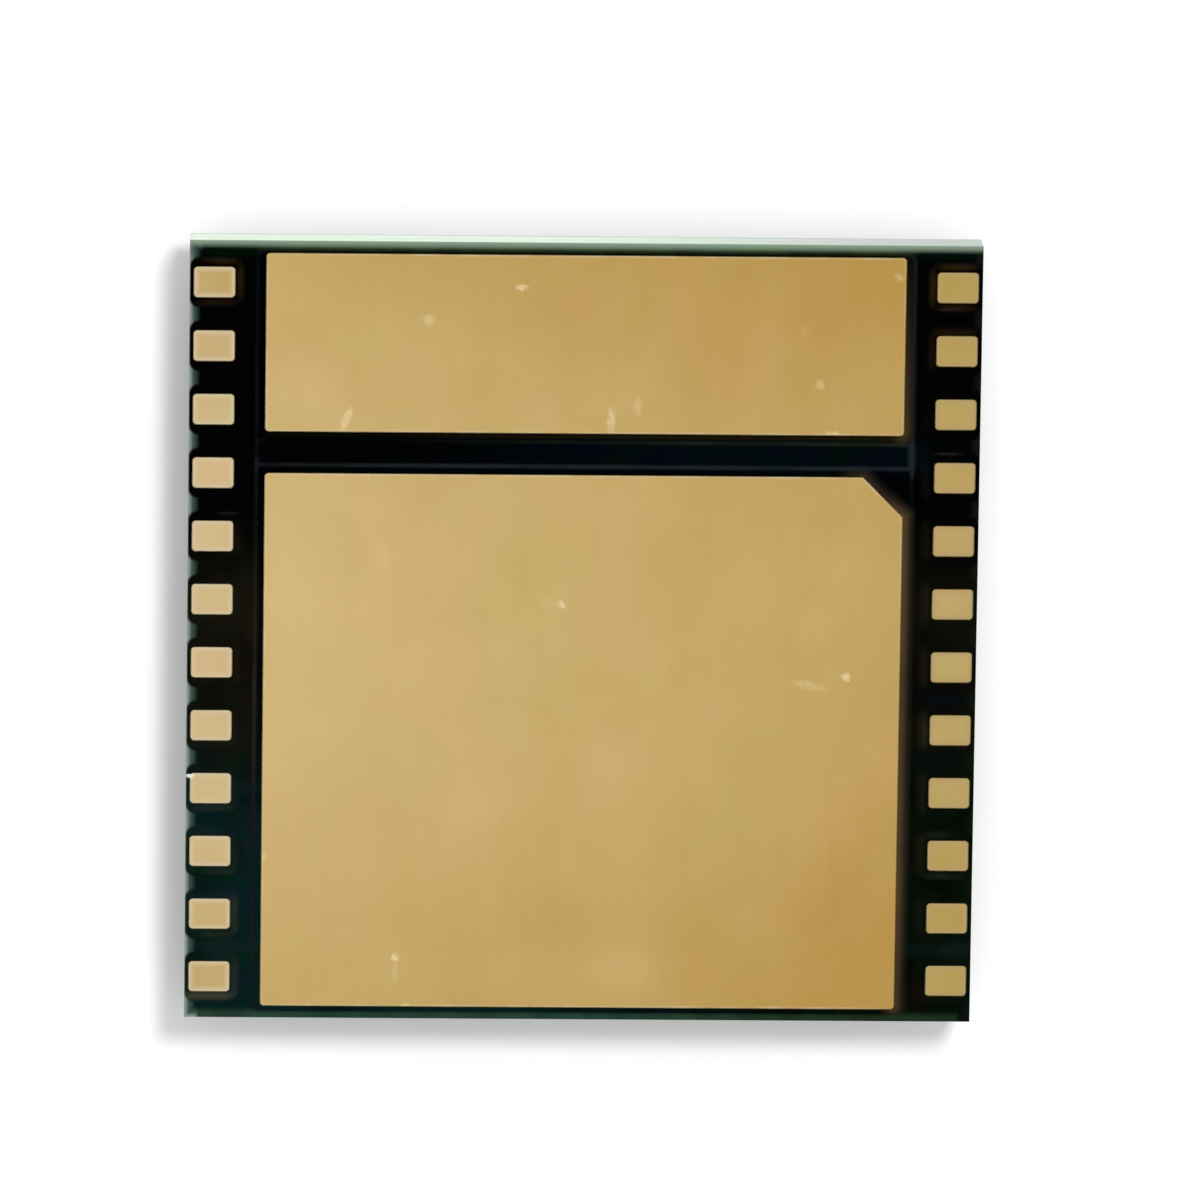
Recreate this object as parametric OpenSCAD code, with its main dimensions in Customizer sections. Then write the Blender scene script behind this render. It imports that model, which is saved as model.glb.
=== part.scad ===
// Square laminate land-grid package with a flip-chip die, lying on the back of its die, lands up

/* [Package] */
// Side of the package along X
body_x = 8.0; // [7.8:0.1:9]
// Side of the package along Y
body_y = 8.0; // [7.8:0.1:9]

/* [Edge lands] */
// Lands along each side
land_rows = 12; // [4:1:12]
// Pitch of the lands
land_pitch = 0.65; // [0.58:0.01:0.66]
// Contact of a land, square to the edge
land_x = 0.42; // [0.34:0.01:0.5]
// Contact of a land, along the edge
land_y = 0.32; // [0.24:0.01:0.36]
// Mask between a land's contact and the package's edge
land_edge = 0.04; // [0.03:0.005:0.06]
// Laminate left bare between a land's copper and the package's edge
land_copper_edge = 0.015; // [0.01:0.005:0.025]

/* [Large pads] */
// Mask between the edge lands' contacts and the large pads' contacts
pad_side_gap = 0.31; // [0.25:0.01:0.5]
// Mask between the large pads' contacts and the package's ends
pad_end = 0.12; // [0.11:0.01:0.3]
// Mask between the two large contacts
pad_gap = 0.42; // [0.3:0.01:0.6]
// Middle of that gap, from the package's centre
pad_gap_y = 1.84; // [1.4:0.02:2.2]
// Corner cut from the ground pad, the index mark
pad_chamfer = 0.41; // [0.2:0.01:0.8]

/* [Land-side copper and mask] */
// Thickness of the copper
copper_t = 0.03; // [0.02:0.005:0.045]
// Height of the plated contact over the copper
plating_t = 0.006; // [0.002:0.001:0.015]
// Corner radius of a contact
contact_corner = 0.04; // [0.02:0.01:0.1]
// Corner radius of the copper under the mask
copper_corner = 0.08; // [0.04:0.01:0.14]
// Copper covered by the mask round a contact
mask_overlap = 0.08; // [0.05:0.01:0.1]
// Copper kept back from the package's edge, apart from the lands
copper_edge = 0.09; // [0.05:0.01:0.1]
// Thickness of the mask over copper
mask_over_copper = 0.02; // [0.016:0.001:0.03]
// Thickness of the mask over bare laminate
mask_over_laminate = 0.035; // [0.02:0.001:0.038]
// Width of the mask's step beside the copper
mask_skirt = 0.02; // [0.01:0.005:0.03]
// Clearance between a contact and the wall of its mask opening
mask_clearance = 0.004; // [0.002:0.001:0.01]

/* [Laminate] */
// Thickness of the core, on the die side
core_t = 0.24; // [0.1:0.01:0.4]
// Thickness of the inner copper plane
plane_t = 0.02; // [0.012:0.001:0.035]
// Thickness of the ply over the plane, on the land side
ply_t = 0.12; // [0.06:0.01:0.2]
// Diameter of a filled via
via_d = 0.12; // [0.08:0.01:0.16]
// Clearance round a via that passes through the plane
plane_clearance = 0.09; // [0.05:0.01:0.12]
// Pitch of the via groups under the large pads
via_pitch = 0.65; // [0.5:0.05:0.7]
// Columns in a via group
via_columns = 6; // [2:1:6]
// Rows of vias under the power pad
power_via_rows = 2; // [1:1:2]
// Rows of vias under the ground pad
ground_via_rows = 5; // [1:1:5]
// From a land's middle in to its via
land_via_inset = 0.15; // [0.1:0.01:0.2]

/* [Die-side copper] */
// Thickness of the traces and spreaders
trace_t = 0.025; // [0.015:0.001:0.04]
// Width of a trace
trace_w = 0.07; // [0.05:0.005:0.08]
// Diameter of a trace's pad at its via
via_pad_d = 0.22; // [0.18:0.01:0.26]
// Diameter of a trace's pad at its bump
bump_pad_d = 0.17; // [0.12:0.01:0.2]
// Straight run of a trace at its via
trace_lead = 0.25; // [0.15:0.01:0.35]
// Straight run of a trace at its bump
trace_tail = 0.2; // [0.1:0.01:0.25]
// Middle of the gap between the two spreaders, from the package's centre
spreader_gap_y = 0.65; // [0.5:0.05:0.8]
// Gap between the two spreaders
spreader_gap = 0.3; // [0.15:0.01:0.5]
// From the outer row of vias to the spreader's end
spreader_end = 0.3; // [0.15:0.01:0.4]
// From the outer bumps in to the spreaders
spreader_side = 0.25; // [0.2:0.01:0.3]
// Corner radius of a spreader
spreader_corner = 0.1; // [0.05:0.01:0.14]

/* [Die and its joints] */
// Side of the die along X
die_x = 5.0; // [4.8:0.1:5.4]
// Side of the die along Y
die_y = 4.6; // [4.2:0.1:5.2]
// Thickness of the die
die_t = 0.45; // [0.35:0.01:0.8]
// Height of the die-side copper over the die's face
standoff = 0.08; // [0.06:0.005:0.12]
// Diameter of a bump's pillar, on the die
pillar_d = 0.09; // [0.06:0.01:0.1]
// Diameter of a bump's solder, in the mask opening
solder_d = 0.11; // [0.1:0.005:0.12]
// Height of a bump's solder
solder_t = 0.035; // [0.032:0.001:0.05]
// Pitch of the outer bumps, one for each edge land
edge_bump_pitch = 0.3; // [0.27:0.01:0.36]
// From the die's side in to the outer bumps
edge_bump_inset = 0.25; // [0.2:0.01:0.3]
// Pitch of the bumps on the spreaders
bump_pitch = 0.5; // [0.4:0.01:0.52]
// Columns of bumps on a spreader
bump_columns = 8; // [2:1:8]
// Rows of bumps on the power spreader
power_bump_rows = 2; // [1:1:2]
// Rows of bumps on the ground spreader
ground_bump_rows = 4; // [1:1:4]
// From the middle of the spreader gap to the first bump row
first_bump_row = 0.45; // [0.35:0.01:0.5]
// Reach of the underfill fillet along the mask and up the die's side
fillet_reach = 0.34; // [0.2:0.01:0.38]
// Thickness of the fillet where it ends
fillet_lip = 0.02; // [0.01:0.005:0.05]
// From the die's side to the centre line of the fillet's hollow
fillet_hollow = 0.5; // [0.42:0.01:0.7]

/* [Hidden] */
$fn = 36;

land_count = 2 * land_rows;
function land_name(i) = str("land_", i < 9 ? "0" : "", i + 1);

// Heights, from the back of the die
underfill_top = die_t + standoff - mask_over_copper;
trace_z = die_t + standoff;
core_z = trace_z + trace_t;
plane_z = core_z + core_t;
laminate_top = plane_z + plane_t + ply_t;
mask_rise = copper_t + mask_over_copper;

// Middles of the land columns and their vias
land_column = body_x / 2 - land_edge - land_x / 2;
via_column = land_column - land_via_inset;
edge_bump_column = die_x / 2 - edge_bump_inset;

// Lands run down the right column from the index corner, then up the left one
function side(i) = i < land_rows ? 1 : -1;
function row(i) = i < land_rows ? i : land_count - 1 - i;
function row_place(i, pitch) = ((land_rows - 1) / 2 - row(i)) * pitch;
function land_via_at(i) = [side(i) * via_column, row_place(i, land_pitch)];
function edge_bump_at(i) = [side(i) * edge_bump_column, row_place(i, edge_bump_pitch)];

// Boxes are [low x, low y, high x, high y]
pad_x = land_column - land_x / 2 - pad_side_gap;
pad_y = body_y / 2 - pad_end;
pad_copper_y = body_y / 2 - copper_edge;
power_box = [-pad_x, pad_gap_y + pad_gap / 2, pad_x, pad_y];
ground_box = [-pad_x, -pad_y, pad_x, pad_gap_y - pad_gap / 2];
power_copper = [-pad_x - mask_overlap, power_box[1] - mask_overlap, pad_x + mask_overlap, pad_copper_y];
ground_copper = [-pad_x - mask_overlap, -pad_copper_y, pad_x + mask_overlap, ground_box[3] + mask_overlap];

// A box grown on all sides, and the leg of its cut corner that keeps the growth as wide beside the slant
function grow(box, by) = [box[0] - by, box[1] - by, box[2] + by, box[3] + by];
function grown_leg(leg, by) = leg + by * (2 - sqrt(2));
copper_chamfer = grown_leg(pad_chamfer, mask_overlap);

function middle(low, high) = (low + high) / 2;
function grid(columns, rows, pitch, y) = [
    for (c = [0 : columns - 1], r = [0 : rows - 1])
        [(c - (columns - 1) / 2) * pitch, y + (r - (rows - 1) / 2) * pitch]
];
power_via_y = middle(power_box[1], power_box[3]);
ground_via_y = middle(ground_box[1], ground_box[3]);
power_via_places = grid(via_columns, power_via_rows, via_pitch, power_via_y);
ground_via_places = grid(via_columns, ground_via_rows, via_pitch, ground_via_y);
signal_via_places = [for (i = [0 : land_count - 1]) land_via_at(i)];

power_bump_y = spreader_gap_y + first_bump_row + (power_bump_rows - 1) / 2 * bump_pitch;
ground_bump_y = spreader_gap_y - first_bump_row - (ground_bump_rows - 1) / 2 * bump_pitch;
bump_places = concat(
    [for (i = [0 : land_count - 1]) edge_bump_at(i)],
    grid(bump_columns, power_bump_rows, bump_pitch, power_bump_y),
    grid(bump_columns, ground_bump_rows, bump_pitch, ground_bump_y)
);

spreader_x = edge_bump_column - spreader_side;
power_reach = power_via_y + (power_via_rows - 1) / 2 * via_pitch + spreader_end;
ground_reach = ground_via_y - (ground_via_rows - 1) / 2 * via_pitch - spreader_end;
power_spread = [-spreader_x, spreader_gap_y + spreader_gap / 2, spreader_x, power_reach];
ground_spread = [-spreader_x, ground_reach, spreader_x, spreader_gap_y - spreader_gap / 2];

// Radius of the fillet's hollow, which leaves the lip at fillet_reach along the mask and up the die
hollow_r = norm([fillet_hollow - fillet_lip, fillet_hollow - fillet_reach]);

module slab(z, thickness) {
    translate([0, 0, z + thickness / 2])
        cube([body_x, body_y, thickness], center = true);
}

module layer(z, thickness) {
    translate([0, 0, z]) linear_extrude(thickness) children();
}

module rods(places, d, z, length) {
    for (place = places)
        translate([place[0], place[1], z]) cylinder(d = d, h = length);
}

module rounded_box(box, r) {
    size = [box[2] - box[0], box[3] - box[1]];
    translate([box[0] + r, box[1]]) square([size[0] - 2 * r, size[1]]);
    translate([box[0], box[1] + r]) square([size[0], size[1] - 2 * r]);
    for (x = [box[0] + r, box[2] - r], y = [box[1] + r, box[3] - r])
        translate([x, y]) circle(r);
}

module cut_corner_box(box, r, leg) {
    difference() {
        rounded_box(box, r);
        translate([box[2], box[3]]) polygon([[-leg, 0], [0, -leg], [leg, leg]]);
    }
}

// Outlines of the land side, each grown by what is asked
module power_contact(by = 0) {
    rounded_box(grow(power_box, by), contact_corner);
}

module ground_contact(by = 0) {
    cut_corner_box(grow(ground_box, by), contact_corner, grown_leg(pad_chamfer, by));
}

module power_foot(by = 0) {
    rounded_box(grow(power_copper, by), copper_corner);
}

module ground_foot(by = 0) {
    cut_corner_box(grow(ground_copper, by), copper_corner, grown_leg(copper_chamfer, by));
}

function land_box(i) = [
    -land_x / 2, row_place(i, land_pitch) - land_y / 2,
    land_x / 2, row_place(i, land_pitch) + land_y / 2
];

module at_column(i) {
    translate([side(i) * land_column, 0]) children();
}

module land_contact(i, by = 0) {
    at_column(i) rounded_box(grow(land_box(i), by), contact_corner);
}

// A land's copper reaches in under the mask and out almost to the cut edge
module land_foot(i, by = 0) {
    box = land_box(i);
    outer = body_x / 2 - land_column - land_copper_edge;
    inner = -land_x / 2 - mask_overlap;
    reach = side(i) > 0 ? [inner, outer] : [-outer, -inner];
    foot = [reach[0], box[1] - mask_overlap, reach[1], box[3] + mask_overlap];
    at_column(i) rounded_box(grow(foot, by), copper_corner);
}

// A trace leads straight in from its via, slants to its bump row and ends on the bump's pad
function left_of(run) = [-run[1], run[0]] / norm(run);
function mitre(a, b) = (a + b) / (1 + a * b);

module trace_outline(i) {
    via = land_via_at(i);
    bump = edge_bump_at(i);
    path = [via, via - [side(i) * trace_lead, 0], bump + [side(i) * trace_tail, 0], bump];
    normals = [for (k = [0 : 2]) left_of(path[k + 1] - path[k])];
    knees = [mitre(normals[0], normals[1]), mitre(normals[1], normals[2])];
    offsets = concat([normals[0]], knees, [normals[2]]) * trace_w / 2;
    polygon(concat(
        [for (k = [0 : 3]) path[k] + offsets[k]],
        [for (k = [3 : -1 : 0]) path[k] - offsets[k]]
    ));
    translate(via) circle(d = via_pad_d);
    translate(bump) circle(d = bump_pad_d);
}

// Hollow fillet between the mask and a side of the die
module fillet_section() {
    translate([0, underfill_top]) mirror([0, 1]) difference() {
        square(fillet_reach);
        translate([fillet_hollow, fillet_hollow]) circle(hollow_r, $fn = 96);
    }
}

module all_vias(d, z, length) {
    rods(signal_via_places, d, z, length);
    rods(power_via_places, d, z, length);
    rods(ground_via_places, d, z, length);
}

// The inner plane, cleared round each via that it must not touch
module cleared_plane() {
    clear_d = via_d + 2 * plane_clearance;
    difference() {
        translate([0, 0, plane_z + plane_t / 2])
            cube([body_x - 2 * copper_edge, body_y - 2 * copper_edge, plane_t], center = true);
        rods(signal_via_places, clear_d, plane_z, plane_t);
        rods(power_via_places, clear_d, plane_z, plane_t);
    }
}

// Node modules, from the die up to the lands

module silicon_die() {
    color([0.36, 0.37, 0.41])
        translate([0, 0, die_t / 2]) cube([die_x, die_y, die_t], center = true);
}

// Copper pillar on the die, soldered to the laminate through the mask opening
module bump_shapes() {
    rods(bump_places, pillar_d, die_t, standoff - solder_t);
    rods(bump_places, solder_d, trace_z - solder_t, solder_t);
}

module die_bumps() {
    color([0.72, 0.72, 0.74]) bump_shapes();
}

module underfill() {
    gap = underfill_top - die_t;
    color([0.1, 0.1, 0.12]) difference() {
        union() {
            translate([0, 0, die_t + gap / 2]) cube([die_x, die_y, gap], center = true);
            for (turn = [0 : 3]) {
                half = turn % 2 == 0 ? die_x / 2 : die_y / 2;
                run = turn % 2 == 0 ? die_y : die_x;
                rotate(turn * 90) translate([half, run / 2, 0]) {
                    rotate([90, 0, 0]) linear_extrude(run) fillet_section();
                    rotate_extrude(angle = 90) fillet_section();
                }
            }
        }
        bump_shapes();
    }
}

module die_side_mask() {
    color([0.03, 0.12, 0.1]) difference() {
        slab(underfill_top, core_z - underfill_top);
        layer(trace_z, trace_t) {
            rounded_box(power_spread, spreader_corner);
            rounded_box(ground_spread, spreader_corner);
        }
        for (i = [0 : land_count - 1])
            layer(trace_z, trace_t) trace_outline(i);
        rods(bump_places, solder_d, underfill_top, mask_over_copper);
    }
}

module signal_traces() {
    color([0.75, 0.48, 0.32])
        for (i = [0 : land_count - 1])
            layer(trace_z, trace_t) trace_outline(i);
}

module power_spreader() {
    color([0.75, 0.48, 0.32]) layer(trace_z, trace_t) rounded_box(power_spread, spreader_corner);
}

module ground_spreader() {
    color([0.75, 0.48, 0.32]) layer(trace_z, trace_t) rounded_box(ground_spread, spreader_corner);
}

module laminate_core() {
    color([0.8, 0.87, 0.77]) difference() {
        slab(core_z, core_t);
        all_vias(via_d, core_z, core_t);
    }
}

module inner_ground_plane() {
    color([0.75, 0.48, 0.32]) difference() {
        cleared_plane();
        rods(ground_via_places, via_d, plane_z, plane_t);
    }
}

// Resin of this ply fills round the plane and its clearance holes
module land_side_ply() {
    color([0.8, 0.87, 0.77]) difference() {
        slab(plane_z, plane_t + ply_t);
        cleared_plane();
        all_vias(via_d, plane_z, plane_t + ply_t);
    }
}

module via_group(places) {
    color([0.75, 0.48, 0.32]) rods(places, via_d, core_z, laminate_top - core_z);
}

module signal_vias() {
    via_group(signal_via_places);
}

module power_vias() {
    via_group(power_via_places);
}

module ground_vias() {
    via_group(ground_via_places);
}

// Copper pad with its plated contact standing in the mask opening
module power_pad() {
    color([0.8, 0.68, 0.44]) {
        layer(laminate_top, copper_t) power_foot();
        layer(laminate_top, copper_t + plating_t) power_contact(-mask_clearance);
    }
}

module ground_pad() {
    color([0.8, 0.68, 0.44]) {
        layer(laminate_top, copper_t) ground_foot();
        layer(laminate_top, copper_t + plating_t) ground_contact(-mask_clearance);
    }
}

module land(i) {
    color([0.8, 0.68, 0.44]) {
        layer(laminate_top, copper_t) land_foot(i);
        layer(laminate_top, copper_t + plating_t) land_contact(i, -mask_clearance);
    }
}

// One cured film: it steps up over each copper shape and is open over each contact
module land_side_mask() {
    color([0.03, 0.09, 0.08]) difference() {
        union() {
            slab(laminate_top, mask_over_laminate);
            intersection() {
                slab(laminate_top, mask_rise);
                layer(laminate_top, mask_rise) {
                    power_foot(mask_skirt);
                    ground_foot(mask_skirt);
                    for (i = [0 : land_count - 1])
                        land_foot(i, mask_skirt);
                }
            }
        }
        layer(laminate_top, copper_t) {
            power_foot();
            ground_foot();
            for (i = [0 : land_count - 1])
                land_foot(i);
        }
        layer(laminate_top, mask_rise) {
            power_contact();
            ground_contact();
            for (i = [0 : land_count - 1])
                land_contact(i);
        }
    }
}

silicon_die();
die_bumps();
underfill();
die_side_mask();
signal_traces();
power_spreader();
ground_spreader();
laminate_core();
inner_ground_plane();
land_side_ply();
signal_vias();
power_vias();
ground_vias();
power_pad();
ground_pad();
land_side_mask();
for (i = [0 : land_count - 1])
    land(i);
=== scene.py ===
from math import asin, cos, hypot, pi, radians, sin, sqrt

import bpy
from mathutils import Matrix, Vector, noise
from mathutils.geometry import delaunay_2d_cdt


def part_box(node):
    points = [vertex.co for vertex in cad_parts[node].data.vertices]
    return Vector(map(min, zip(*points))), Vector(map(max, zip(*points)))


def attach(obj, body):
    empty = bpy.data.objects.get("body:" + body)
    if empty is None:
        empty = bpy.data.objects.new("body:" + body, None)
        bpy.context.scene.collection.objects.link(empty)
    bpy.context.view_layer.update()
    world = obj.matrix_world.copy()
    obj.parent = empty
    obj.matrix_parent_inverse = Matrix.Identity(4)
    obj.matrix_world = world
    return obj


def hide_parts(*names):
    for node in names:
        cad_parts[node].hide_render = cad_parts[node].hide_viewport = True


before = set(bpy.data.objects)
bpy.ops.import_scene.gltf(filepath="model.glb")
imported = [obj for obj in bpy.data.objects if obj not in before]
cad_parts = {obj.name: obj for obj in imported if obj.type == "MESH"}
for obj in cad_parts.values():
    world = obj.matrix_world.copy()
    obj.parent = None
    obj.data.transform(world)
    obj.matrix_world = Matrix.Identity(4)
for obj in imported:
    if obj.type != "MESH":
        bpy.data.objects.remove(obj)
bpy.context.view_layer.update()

MM = 0.001

# Silicon die: a bare chip, sawn from its wafer on four sides and ground flat on the back.
# The part lies on that back. The grinding wheel leaves long faint arcs in it, and the saw
# leaves small chips along its edges.


def plan_box(node):
    """A node's outline in millimetres: low x, low y, high x, high y."""
    low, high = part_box(node)
    return [low.x / MM, low.y / MM, high.x / MM, high.y / MM]


def heights(node):
    """A node's lowest and highest point in millimetres."""
    low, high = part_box(node)
    return low.z / MM, high.z / MM


def centred(box):
    """A box as its middle x and y and its half width and height."""
    return (box[0] + box[2]) / 2, (box[1] + box[3]) / 2, (box[2] - box[0]) / 2, (box[3] - box[1]) / 2


def ring(box, steps, radius=0.0, grow=0.0, cut=0.0, arc=5):
    """Points counterclockwise round a box with round corners, grown on all sides.

    Its sides have steps along x and y. cut is the leg of a slant across the high corner.
    """
    bend = max(radius + grow, 0.001)
    middle_x, middle_y, half_x, half_y = centred(box)
    middle = Vector((middle_x, middle_y))
    reach = Vector((half_x + grow, half_y + grow))
    corners = []
    for quarter, side in enumerate([(1, -1), (1, 1), (-1, 1), (-1, -1)]):
        if cut and side == (1, 1):
            leg = cut + grow * (2 - sqrt(2))
            corners.append([middle + reach - Vector((0, leg)), middle + reach - Vector((leg, 0))])
            continue
        hub = middle + Vector((side[0] * (reach.x - bend), side[1] * (reach.y - bend)))
        turns = [radians(90 * (quarter - 1 + k / arc)) for k in range(arc + 1)]
        corners.append([hub + bend * Vector((cos(turn), sin(turn))) for turn in turns])
    points = []
    for quarter, corner in enumerate(corners):
        onward = corners[(quarter + 1) % 4][0]
        count = steps[1] if quarter % 2 == 0 else steps[0]
        points += corner
        points += [corner[-1].lerp(onward, k / count) for k in range(1, count)]
    return points


def chipped(points, depth, grain, seed):
    """Ring points pulled in here and there, as an edge with small chips."""
    made = []
    for k, point in enumerate(points):
        along = (points[(k + 1) % len(points)] - points[k - 1]).normalized()
        rough = noise.noise((point.x * grain, point.y * grain, seed))
        loss = depth * (0.12 + max(0.0, rough) ** 2 * 4)
        made.append(point + Vector((-along.y, along.x)) * loss)
    return made


def loft(rings):
    """Points and faces of a closed shell through rings of equally many points.

    A ring is its points and their height, or a list of heights.
    """
    count = len(rings[0][0])
    points = []
    for outline, height in rings:
        levels = height if isinstance(height, list) else [height] * count
        points += [(p.x, p.y, z) for p, z in zip(outline, levels)]
    faces = [tuple(reversed(range(count)))]
    for level in range(len(rings) - 1):
        here, above = level * count, (level + 1) * count
        for k in range(count):
            turn = (k + 1) % count
            faces.append((here + k, here + turn, above + turn, above + k))
    faces.append(tuple(range(len(points) - count, len(points))))
    return points, faces


def add_object(name, data):
    """A new object of the scene from its mesh, lamp or camera."""
    made = bpy.data.objects.new(name, data)
    bpy.context.scene.collection.objects.link(made)
    return made


def make_piece(name, points, faces, crease=35):
    """A mesh object from points in millimetres, smooth where its faces meet under the crease angle."""
    mesh = bpy.data.meshes.new(name)
    mesh.from_pydata([Vector(point) * MM for point in points], [], faces)
    mesh.validate()
    mesh.shade_smooth()
    mesh.set_sharp_from_angle(angle=radians(crease))
    return add_object(name, mesh)


def put(tree, kind, inputs=None, **settings):
    """Adds a shader node. An input takes a plain value or another node's output."""
    node = tree.nodes.new("ShaderNode" + kind)
    for name, value in settings.items():
        setattr(node, name, value)
    for socket, value in (inputs or {}).items():
        if isinstance(value, bpy.types.NodeSocket):
            tree.links.new(value, node.inputs[socket])
        else:
            node.inputs[socket].default_value = value
    return node


def maths(tree, operation, *values):
    """Result of a Math node, or of a row of them where there are more than two values."""
    result = put(tree, "Math", dict(enumerate(values[:2])), operation=operation).outputs[0]
    for value in values[2:]:
        result = put(tree, "Math", {0: result, 1: value}, operation=operation).outputs[0]
    return result


def add(tree, *values):
    """Sum of values."""
    return maths(tree, "ADD", *values)


def product(tree, *values):
    """Product of values."""
    return maths(tree, "MULTIPLY", *values)


def vectors(tree, operation, *values):
    """Vector result of a Vector Math node."""
    return put(tree, "VectorMath", dict(enumerate(values)), operation=operation).outputs["Vector"]


def split(tree, vector):
    """X, Y and Z outputs of a vector."""
    return put(tree, "SeparateXYZ", {0: vector}).outputs


def ramp(tree, value, low, high, start=0.0, end=1.0):
    """Smooth step of a value, from start at low to end at high."""
    limits = {"Value": value, "From Min": low, "From Max": high, "To Min": start, "To Max": end}
    return put(tree, "MapRange", limits, interpolation_type="SMOOTHSTEP").outputs["Result"]


def fade(tree, value, low, high):
    """Smooth step of a value, from 1 at low to 0 at high."""
    return ramp(tree, value, low, high, 1.0, 0.0)


def mix(tree, factor, first, second, kind="MIX"):
    """Mix of two colours, each given as red, green and blue or as another node's output."""
    first, second = [(*tone, 1) if isinstance(tone, tuple) else tone for tone in (first, second)]
    return put(tree, "Mix", {0: factor, 6: first, 7: second}, data_type="RGBA", blend_type=kind).outputs[2]


def cloud(tree, place, size, detail=3.0):
    """Noise from 0 to 1 whose lumps are about size millimetres, one number or one each for x, y and z."""
    sizes = size if isinstance(size, tuple) else (size,) * 3
    stretched = vectors(tree, "MULTIPLY", place, [1 / s for s in sizes])
    return put(tree, "TexNoise", {"Vector": stretched, "Scale": 1.0, "Detail": detail}).outputs["Fac"]


def start_group(name, inputs, outputs):
    """A node group that takes vectors and numbers, by name and plain value, and puts out named numbers.

    Returns the group, the values given to it and the sockets of its result.
    """
    group = bpy.data.node_groups.new(name, "ShaderNodeTree")
    for label, value in inputs.items():
        kind = "NodeSocketVector" if isinstance(value, tuple) else "NodeSocketFloat"
        group.interface.new_socket(label, in_out="INPUT", socket_type=kind).default_value = value
    for label in outputs:
        group.interface.new_socket(label, in_out="OUTPUT", socket_type="NodeSocketFloat")
    return group, group.nodes.new("NodeGroupInput").outputs, group.nodes.new("NodeGroupOutput").inputs


def start_material(name, **plain):
    """A material whose Principled shader has the plain values set.

    Returns it, its tree, its shader and the place on the part in millimetres.
    """
    material = bpy.data.materials.new(name)
    material.use_nodes = True
    tree = material.node_tree
    shader = tree.nodes["Principled BSDF"]
    for label, value in plain.items():
        shader.inputs[label.replace("_", " ")].default_value = value
    place = vectors(tree, "MULTIPLY", put(tree, "TexCoord").outputs["Object"], [1 / MM] * 3)
    return material, tree, shader, place


def finish_surface(tree, shader, tone, roughness, height):
    """Links a shader's colour and roughness, and a bump from a height in millimetres."""
    bump = put(tree, "Bump", {"Height": height, "Distance": MM, "Strength": 1.0}).outputs["Normal"]
    for name, value in [("Base Color", tone), ("Roughness", roughness), ("Normal", bump)]:
        tree.links.new(value, shader.inputs[name])


# Arcs left by a grinding wheel whose middle lies well off the die
WHEEL_MIDDLE = (-31.0, 17.0, 0.0)
LINES_PER_MM = 42.0
LINE_DRIFT = 0.6
tree, given, result = start_group("grinding_arcs", {"Place": (0, 0, 0)}, ["Lines"])
from_wheel = put(tree, "VectorMath", {0: given["Place"], 1: WHEEL_MIDDLE}, operation="DISTANCE")
across_lines = product(tree, from_wheel.outputs["Value"], LINES_PER_MM)
along_lines = product(tree, split(tree, given["Place"])["Y"], LINE_DRIFT)
line_place = put(tree, "CombineXYZ", {"X": across_lines, "Y": along_lines}).outputs[0]
line_noise = put(tree, "TexNoise", {"Vector": line_place, "Scale": 1.0, "Detail": 3.0, "Roughness": 0.6})
tree.links.new(line_noise.outputs["Fac"], result["Lines"])
grinding = tree

silicon, tree, shader, place = start_material("ground_silicon", Metallic=0.75)
arcs = put(tree, "Group", {"Place": place}, node_tree=grinding).outputs["Lines"]
saw_lines = cloud(tree, place, (0.9, 0.9, 0.008), detail=4.0)
facing_down = split(tree, put(tree, "NewGeometry").outputs["Normal"])["Z"]
on_back = ramp(tree, maths(tree, "ABSOLUTE", facing_down), 0.4, 0.8)
lines = put(tree, "Mix", {0: on_back, 2: saw_lines, 3: arcs}).outputs[0]
tone = mix(tree, cloud(tree, place, 1.1), (0.19, 0.2, 0.22), (0.27, 0.275, 0.29))
shade = ramp(tree, lines, 0.3, 0.7, 0.75, 1.1)
tone = mix(tree, 1.0, tone, shade, "MULTIPLY")
roughness = ramp(tree, lines, 0.2, 0.8, 0.28, 0.46)
finish_surface(tree, shader, tone, roughness, product(tree, lines, 0.0012))

die_box = plan_box("silicon_die")
die_back, die_face = heights("silicon_die")
die_steps = (120, 110)
CHIP_DEPTH = 0.016
CHIP_GRAIN = 9.0
back_edge = chipped(ring(die_box, die_steps, grow=-0.006), CHIP_DEPTH, CHIP_GRAIN, 3.1)
back_chips = chipped(ring(die_box, die_steps, grow=-0.001), CHIP_DEPTH * 0.7, CHIP_GRAIN, 3.1)
die_rings = [
    (back_edge, die_back),
    (back_chips, die_back + 0.006),
    (ring(die_box, die_steps), die_back + 0.022),
    (ring(die_box, die_steps), die_face - 0.012),
    (ring(die_box, die_steps, grow=-0.004), die_face),
]
die = make_piece("die", *loft(die_rings))
die.data.materials.append(silicon)
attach(die, "root")
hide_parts("silicon_die")

# Solder mask of the die side: one cured film over the laminate's second face, dark green and smooth.
# Traces and spreaders show as low ridges in it, and it is open only over the bump pads below the die.
body_box = plan_box("die_side_mask")
die_film_face, die_film_back = heights("die_side_mask")
trace_face = heights("signal_traces")[0]
DIE_FILM_RISE = 0.01
DIE_STEP_START = -0.004
DIE_STEP_END = 0.02
SOFT_CREASE = 50
TRACE_HALF = 0.035
TRACE_LEAD = 0.25
TRACE_TAIL = 0.2
VIA_PAD = 0.11
BUMP_PAD = 0.085
BUMP_OPENING = 0.055
SPREADER_CORNER = 0.1
LAND_ROWS = 12
LAND_PITCH = 0.65
VIA_COLUMN = 3.6
EDGE_BUMP_PITCH = 0.3
EDGE_BUMP_COLUMN = 2.25
BUMP_ROWS = (1.6, 1.1, 0.2, -0.3, -0.8, -1.3)
BUMP_COLUMNS = 8
BUMP_PITCH = 0.5
BUMP_FIELD = 2.5
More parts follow.
